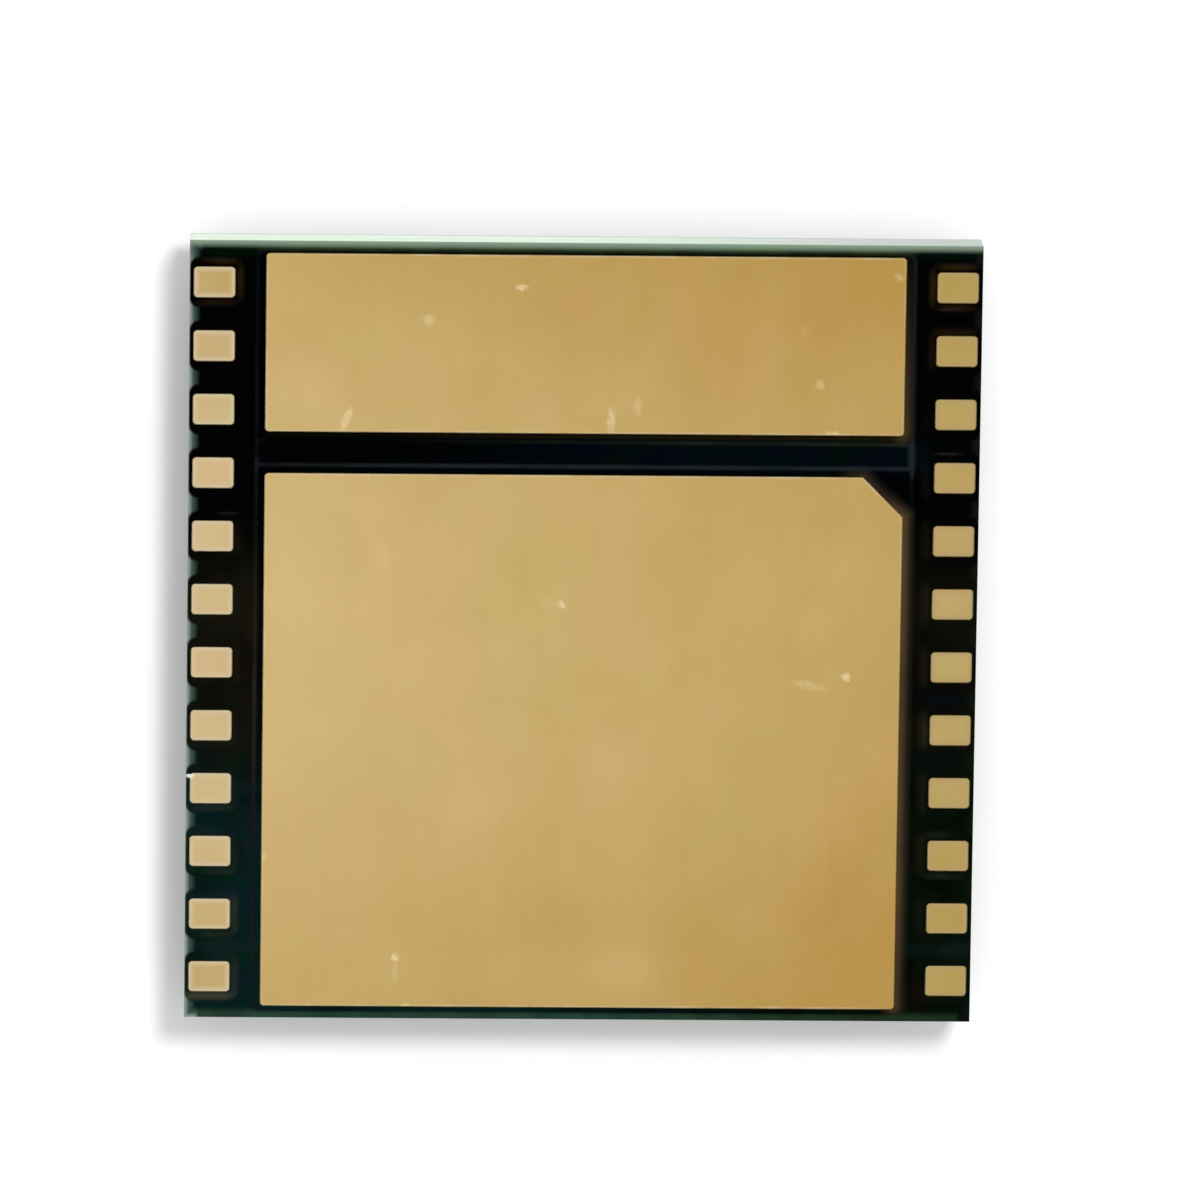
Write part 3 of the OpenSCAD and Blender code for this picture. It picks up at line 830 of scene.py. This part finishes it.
# The painted highlight is broader at the gap's right end, and a few short painted highlights
# stand out over the copper of single lands
SHORT_HIGHLIGHTS = [
    ((0.0095, 0.0165, 0.018), [(3.31, GAP_Y, 0.2, 0.065, 0.6, 90)]),
    ((0.0105, 0.0098, 0.0105), [
        (3.68, 1.875, 0.2, 0.022, 0.8), (-3.6, 1.21, 0.16, 0.022, 0.6),
        (3.66, 3.355, 0.15, 0.022, 0.9),
    ]),
]
for colour, marks in SHORT_HIGHLIGHTS:
    tone = mix(tree, marked(tree, place, marks), tone, colour)
# Round the lands the metal shows here and there in a soft band, brown above and greenish below
LAND_RINGS = [
    (-3.42, 3.6, 0.13, 0.4, 1.1), (-3.62, 3.86, 0.4, 0.12, 1.0), (-3.7, 3.32, 0.4, 0.12, 0.35),
    (3.72, 3.86, 0.4, 0.13, 1.3), (3.44, 3.6, 0.12, 0.4, 0.8), (3.72, 3.32, 0.35, 0.12, 0.4),
    (3.7, 3.15, 0.4, 0.1, 0.3), (3.45, 2.9, 0.12, 0.4, 0.25), (-3.43, -0.33, 0.13, 0.35, 0.5),
    (-3.46, 0.97, 0.12, 0.3, 0.2), (3.44, -0.98, 0.12, 0.3, 0.3), (-3.7, -1.88, 0.4, 0.12, 0.2),
    (-3.46, -2.3, 0.12, 0.35, 0.16), (-3.6, -2.54, 0.3, 0.12, 0.3), (-3.44, -2.95, 0.13, 0.4, 0.5),
    (-3.65, -3.2, 0.4, 0.12, 0.4), (-3.43, -3.6, 0.13, 0.4, 0.5), (-3.75, -3.83, 0.5, 0.15, 1.1),
    (3.65, -2.54, 0.4, 0.12, 0.35), (3.6, -2.0, 0.3, 0.12, 0.2),
]
land_band = fade(tree, off["Land"], 0.03, 0.115)
left_lower = product(tree, lower, ramp(tree, x, -3.0, 3.0, 0.06, 0.01))
ring_share = add(tree, marked(tree, place, LAND_RINGS), left_lower)
ring_share = product(tree, land_band, add(tree, ring_share, 0.015), uneven)
outward = ramp(tree, off["Land"], 0.02, 0.1)
ring_tone = mix(tree, outward, (0.04, 0.0205, 0.0035), (0.02, 0.0145, 0.0095))
ring_tone = mix(tree, lower, ring_tone, (0.036, 0.04, 0.022))
tone = mix(tree, ring_share, tone, ring_tone)
# The thin film beside a contact glows warm, most along the right
GLOWS = [(3.28, -0.9, 5.5, 0.26, 0.95, 90), (3.05, 1.5, 0.6, 0.42, 0.6, 135)]
thin_film = fade(tree, off["Contact"], 0.05, 0.15)
glow_wave = ramp(tree, cloud(tree, place, 0.9), 0.35, 0.65, 0.85, 1.1)
glow = product(tree, thin_film, marked(tree, place, GLOWS), glow_wave)
outward = ramp(tree, off["Contact"], 0.0, 0.09)
glow_tone = mix(tree, outward, (0.075, 0.047, 0.019), (0.02, 0.0165, 0.0105))
at_slant = marked(tree, place, [(3.05, 1.5, 0.5, 0.35, 0.9)])
glow_tone = mix(tree, at_slant, glow_tone, (0.034, 0.021, 0.0145))
slant_fade = product(tree, at_slant, ramp(tree, off["Contact"], 0.02, 0.09, 0.0, 0.75))
glow = product(tree, glow, maths(tree, "SUBTRACT", 1.0, slant_fade))
tone = mix(tree, glow, tone, glow_tone)
# A thin yellow glow along the gap's upper side
GAP_GLOWS = [(2.7, 2.03, 3.8, 0.1, 1.0), (-0.6, 2.03, 2.0, 0.1, 0.6), (-2.9, 2.03, 1.2, 0.1, 0.25)]
beside_pad = fade(tree, off["Contact"], 0.02, 0.06)
gap_glow = product(tree, beside_pad, marked(tree, place, GAP_GLOWS), between_pads)
tone = mix(tree, gap_glow, tone, (0.028, 0.0185, 0.0012))
# Light from the sawn side shows through the rim, palest on the left
at_left = fade(tree, x, -3.9, -3.85)
at_right = ramp(tree, x, 3.85, 3.9)
at_top = ramp(tree, y, 3.82, 3.9)
bare = ramp(tree, off["Copper"], 0.0, 0.035)
bare = maths(tree, "MAXIMUM", bare, product(tree, at_top, 0.7))
rim_tone = mix(tree, ramp(tree, x, 0.0, 3.0), (0.019, 0.053, 0.033), (0.014, 0.03, 0.014))
behind_pad = fade(tree, off_middle, 3.1, 3.4)
top_tone = mix(tree, behind_pad, (0.0012, 0.0065, 0.003), (0.05, 0.09, 0.034))
rim_tone = mix(tree, at_top, rim_tone, top_tone)
rim_tone = mix(tree, at_left, rim_tone, (0.055, 0.1, 0.08))
rim_tone = mix(tree, at_right, rim_tone, (0.004, 0.0065, 0.004))
rim_wave = ramp(tree, cloud(tree, place, 0.3), 0.3, 0.7, 0.7, 1.1)
rim = product(tree, fade(tree, off["Edge"], 0.025, 0.12), bare, rim_wave)
tone = mix(tree, rim, tone, rim_tone)
very_rim = product(tree, fade(tree, off["Edge"], 0.0, 0.05), bare, at_left)
very_rim = product(tree, very_rim, ramp(tree, y, 3.7, 3.9, 1.0, 0.3))
tone = mix(tree, very_rim, tone, (0.25, 0.31, 0.28))
top_rim = product(tree, ramp(tree, y, body_box[3] - 0.085, body_box[3]), bare)
tone = mix(tree, top_rim, tone, (0.21, 0.285, 0.21))
finish_film(tree, shader, place, tone, off["Edge"], 0.16, 0.26)
land_film.data.materials.append(mask_green)
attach(land_film, "root")
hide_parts("land_side_mask")

# Power pad and ground pad: etched copper under nickel and a thin satin layer of gold, each
# standing in its mask opening. The gold is cloudy, with painted light that makes it paler towards
# the left, and has a few specks and scratches from handling.
CLEARANCE = 0.004
SPECKS = [
    (-0.65, 3.545, 0.085, 0.05, 0.75), (-1.585, 3.205, 0.095, 0.085, 0.5),
    (-2.41, 2.19, 0.19, 0.055, 0.75, 70), (0.265, 2.19, 0.19, 0.05, 0.65, 90),
    (0.53, 2.33, 0.13, 0.06, 0.35, 90), (2.38, 2.57, 0.07, 0.07, 0.4), (2.51, 2.075, 0.11, 0.03, 0.65),
    (3.15, 3.67, 0.06, 0.06, 0.35), (-0.21, 0.29, 0.06, 0.052, 0.85), (-0.36, 0.31, 0.13, 0.07, 0.16),
    (2.68, -0.43, 0.058, 0.052, 0.9), (2.3, -0.52, 0.24, 0.06, 0.35, -12),
    (-1.86, -3.37, 0.055, 0.07, 0.85), (-1.86, -3.52, 0.17, 0.045, 0.3, 90),
    (-1.75, -3.865, 0.06, 0.03, 0.65), (-3.2, -2.33, 0.06, 0.05, 0.4, 90), (2.21, 3.13, 0.12, 0.07, 0.1, 90),
]
# Broad clouds of paler or deeper gold
CLOUDS = [
    (-2.8, -0.2, 2.2, 0.6, 0.08, 90), (-2.02, 0.78, 0.22, 0.17, 0.12, 90), (2.35, 0.1, 0.45, 0.3, 0.07, 60),
    (0.5, -3.47, 0.55, 0.35, 0.16), (-0.38, -2.85, 0.7, 0.5, -0.06), (2.53, 1.18, 0.35, 0.3, -0.06),
    (3.4, -2.4, 2.4, 1.3, -0.08, 56), (0.4, -1.7, 0.9, 0.6, 0.05, 90), (0.0, -3.8, 2.8, 0.7, 0.12),
    (-2.77, 2.5, 0.6, 0.5, 0.08), (-0.36, 3.15, 1.0, 0.55, -0.05), (1.26, 2.9, 0.7, 0.8, -0.04),
    (2.55, 3.42, 1.0, 0.6, -0.05), (0.35, 2.5, 0.5, 0.45, 0.06, 90), (-3.72, 3.57, 0.5, 0.5, -0.22),
    (3.72, 3.57, 0.5, 0.4, 0.03), (3.72, -3.57, 0.5, 0.4, 0.14), (-3.72, -3.25, 0.5, 0.9, -0.14),
]
# Where the gold is pinker, or greener where the strength is negative
HUES = [
    (-1.82, 0.54, 1.4, 0.8, 0.35, 90), (-0.66, 0.44, 1.5, 0.6, -0.35, 90), (0.35, 0.37, 1.2, 0.5, 0.35, 90),
    (1.57, -1.72, 1.3, 0.8, -0.35, 56), (-1.4, -2.3, 0.5, 0.4, 0.3), (2.6, -2.1, 1.6, 0.5, 0.4, 56),
    (-2.77, 2.5, 0.6, 0.5, 0.3), (-0.33, 2.45, 0.7, 0.45, 0.3), (1.35, 2.9, 0.8, 0.9, 0.4),
    (2.45, 2.55, 0.8, 0.4, -0.35), (0.9, 2.7, 0.4, 0.4, -0.3), (-2.3, 2.95, 0.6, 0.3, -0.2),
    (-3.72, -1.625, 0.5, 0.5, -0.7), (-3.72, 2.275, 0.5, 0.5, -0.4), (-3.72, 0.325, 0.5, 0.5, -0.3),
]

gold, tree, shader, place = start_material("gold_plating", Metallic=1.0)
x, y, _ = split(tree, place)
# Painted light: paler towards the left and deeper towards the right; also deeper towards the top and bottom
across = product(tree, x, -0.077)
bow = product(tree, y, y, -0.0256)
pale = add(tree, across, bow, 0.57)
patches = product(tree, maths(tree, "SUBTRACT", cloud(tree, place, (0.8, 1.1, 1.0)), 0.5), 0.4)
streaks = product(tree, maths(tree, "SUBTRACT", cloud(tree, place, (0.1, 1.6, 1.0)), 0.5), 0.1)
pale = add(tree, pale, add(tree, patches, streaks), marked(tree, place, CLOUDS))
off = put(tree, "Group", {"Place": place}, node_tree=distances).outputs
on_land = fade(tree, off["Land"], 0.0, 0.02)
pale = add(tree, pale, product(tree, on_land, 0.06))
tone = mix(tree, pale, (0.479, 0.3, 0.0765), (0.672, 0.4975, 0.2237))
# A land is deeper in its middle and paler at its edges, with painted light paler on the left, deeper on the
# right
to_right = ramp(tree, x, -3.5, 3.5)
land_middle = mix(tree, pale, (0.45, 0.315, 0.084), (0.668, 0.495, 0.262))
land_edge = mix(tree, to_right, (0.66, 0.53, 0.33), (0.465, 0.34, 0.145))
land_tone = mix(tree, ramp(tree, off["Contact"], -0.075, -0.008, 0.0, 0.85), land_middle, land_edge)
tone = mix(tree, on_land, tone, land_tone)
blush = ramp(tree, cloud(tree, place, (0.7, 0.9, 0.8), detail=4.0), 0.3, 0.7, 0.25, 0.75)
blush = add(tree, blush, marked(tree, place, HUES))
hue = mix(tree, blush, (0.975, 1.018, 0.99), (1.03, 0.985, 1.04))
tone = mix(tree, 1.0, tone, hue, "MULTIPLY")
# A painted highlight along the rim where the gold turns down, weaker on the right
rim_wave = ramp(tree, cloud(tree, place, 0.3), 0.32, 0.68, 0.3, 1.3)
dim_highlight_side = product(tree, ramp(tree, x, 3.0, 3.15), ramp(tree, y, -1.0, 1.2, 1.0, 0.5))
dim_highlight_side = maths(tree, "MAXIMUM", dim_highlight_side, product(tree, on_land, to_right))
rim_share = put(tree, "Mix", {0: dim_highlight_side, 2: 0.5, 3: 0.05}).outputs[0]
rim_light = product(tree, ramp(tree, off["Contact"], -0.036, -0.006), rim_share, rim_wave)
tone = mix(tree, rim_light, tone, (0.7, 0.61, 0.39))
# Specks and scratches with ragged edges
rough = put(tree, "TexNoise", {"Vector": place, "Scale": 14.0, "Detail": 3.0}).outputs["Color"]
pulled = vectors(tree, "MULTIPLY", vectors(tree, "SUBTRACT", rough, (0.5,) * 3), (0.09,) * 3)
ragged = vectors(tree, "ADD", place, pulled)
specks = marked(tree, ragged, SPECKS)
specks = product(tree, specks, ramp(tree, cloud(tree, place, 0.03), 0.3, 0.6, 0.5, 1.0))
tone = mix(tree, specks, tone, (0.83, 0.64, 0.36))
# Light catches the mask's chip beside the ninth land on the left
chip_glint = marked(tree, place, [(chip_x[0] + 0.025, (chip_y[0] + chip_y[1]) / 2, 0.08, 0.045, 1.2, 10)])
tone = mix(tree, chip_glint, tone, (0.82, 0.9, 0.78))
grain = cloud(tree, place, 0.02)
ripple = product(tree, cloud(tree, place, (0.3, 0.5, 0.3), detail=2.0), 0.004)
relief = add(tree, ripple, product(tree, grain, 0.0008), product(tree, specks, 0.0015))
finish_surface(tree, shader, tone, ramp(tree, grain, 0.2, 0.8, 0.34, 0.46), relief)


def contact_piece(name, foot, contact, foot_cut, contact_cut, spacing):
    """Copper under the mask and the plated contact that stands in its opening, as one shell."""
    steps = side_steps(contact, spacing)
    copper_rings = [(0.0, film_low), (0.0, copper_high - 0.003), (-0.003, copper_high)]
    contact_rings = [
        (-CLEARANCE, copper_high), (-CLEARANCE, contact_high - 0.0025),
        (-CLEARANCE - 0.0012, contact_high - 0.0008), (-CLEARANCE - 0.004, contact_high),
        (-CLEARANCE - 0.01, contact_high),
    ]
    rings = [(ring(foot, steps, COPPER_CORNER, grow, foot_cut), z) for grow, z in copper_rings]
    rings += [(ring(contact, steps, CONTACT_CORNER, grow, contact_cut), z) for grow, z in contact_rings]
    piece = make_piece(name + "_plated", *loft(rings), SOFT_CREASE)
    piece.data.materials.append(gold)
    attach(piece, "root")
    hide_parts(name)


for shape in shapes[:2]:
    contact_piece(*shape, spacing=0.3)

# Edge lands: twenty-four small contacts, plated with the large pads, twelve along each side.
# Each one's copper runs out almost to the sawn edge.
for shape in shapes[2:]:
    contact_piece(*shape, spacing=0.1)

# Floor: a plain white sheet that the part lies on with the back of its die.
# It is matt, and bright enough to stand for the photograph's white ground.
FLOOR_HALF = 0.4
floor_mesh = bpy.data.meshes.new("floor")
floor_corners = [(x * FLOOR_HALF, y * FLOOR_HALF, 0) for x, y in [(-1, -1), (1, -1), (1, 1), (-1, 1)]]
floor_mesh.from_pydata(floor_corners, [], [(0, 1, 2, 3)])
floor = add_object("floor", floor_mesh)
sheet, tree, shader, place = start_material("white_sheet", Roughness=0.9, Specular_IOR_Level=0.0)
rays = put(tree, "LightPath").outputs
seen = maths(tree, "MAXIMUM", rays["Is Camera Ray"], rays["Is Glossy Ray"])
paper = cloud(tree, place, 0.4)
seen_paper = mix(tree, paper, (0.94, 0.94, 0.94), (0.96, 0.96, 0.96))
tree.links.new(mix(tree, seen, (0.8, 0.8, 0.8), seen_paper), shader.inputs["Base Color"])
shader.inputs["Emission Color"].default_value = (1, 1, 1, 1)
tree.links.new(product(tree, seen, 0.1), shader.inputs["Emission Strength"])
floor_mesh.materials.append(sheet)

# Light: an even white surround, dimmer as a light than it looks in the gold.
# One soft lamp stands high at the upper right, and a broad low one behind the power pad's end.
world = bpy.data.worlds.new("surround")
bpy.context.scene.world = world
world.use_nodes = True
tree = world.node_tree
SURROUND = 0.59
rays = put(tree, "LightPath").outputs
ways = [rays["Is Camera Ray"], rays["Is Glossy Ray"], rays["Is Transmission Ray"]]
strength = put(tree, "Mix", {0: maths(tree, "MAXIMUM", *ways), 2: SURROUND, 3: 1.0}).outputs[0]
background = tree.nodes["Background"].inputs
tree.links.new(strength, background["Strength"])
background["Color"].default_value = (1, 1, 1, 1)


def soft_lamp(name, size, energy, place):
    """A square lamp that faces the part; sizes and place are in millimetres."""
    data = bpy.data.lights.new(name, "AREA")
    data.shape = "SQUARE"
    data.size = size * MM
    data.energy = energy
    lamp = add_object(name, data)
    lamp.location = Vector(place) * MM
    lamp.rotation_euler = (-lamp.location).to_track_quat("-Z", "Y").to_euler()
    return lamp


high_lamp = soft_lamp("high_lamp", 40, 0.192, (45, 80, 175))
high_lamp.visible_glossy = False
soft_lamp("low_lamp", 160, 0.07, (10, 190, 90))

# Camera: almost straight down, from a little behind the power pad's end, as the photograph was taken.
# Its place and lens come from the fit of the photograph's land centres to the plan.
CAMERA_DISTANCE = 140.988
CAMERA_TURN = radians(100.302)
CAMERA_RISE = radians(79.2)
CAMERA_ROLL = radians(0.7753)
CAMERA_LENS = 417.811
CAMERA_TARGET = Vector((0.1765, 0.3456, 0.971))
reach = cos(CAMERA_RISE)
away = Vector((reach * cos(CAMERA_TURN), reach * sin(CAMERA_TURN), sin(CAMERA_RISE)))
right = (-away).cross(Vector((0, 1, 0))).normalized()
up = right.cross(-away)
rolled_right = right * cos(CAMERA_ROLL) + up * sin(CAMERA_ROLL)
rolled_up = up * cos(CAMERA_ROLL) - right * sin(CAMERA_ROLL)
camera_data = bpy.data.cameras.new("camera")
camera_data.lens = CAMERA_LENS
camera_data.sensor_width = 36
camera_data.clip_start = 0.005
camera_data.clip_end = 10
camera = add_object("camera", camera_data)
camera_turn = Matrix((rolled_right, rolled_up, away)).transposed().to_4x4()
camera.matrix_world = Matrix.Translation((CAMERA_TARGET + away * CAMERA_DISTANCE) * MM) @ camera_turn
bpy.context.scene.camera = camera
bpy.context.scene.view_settings.view_transform = "Standard"

bpy.context.view_layer.update()
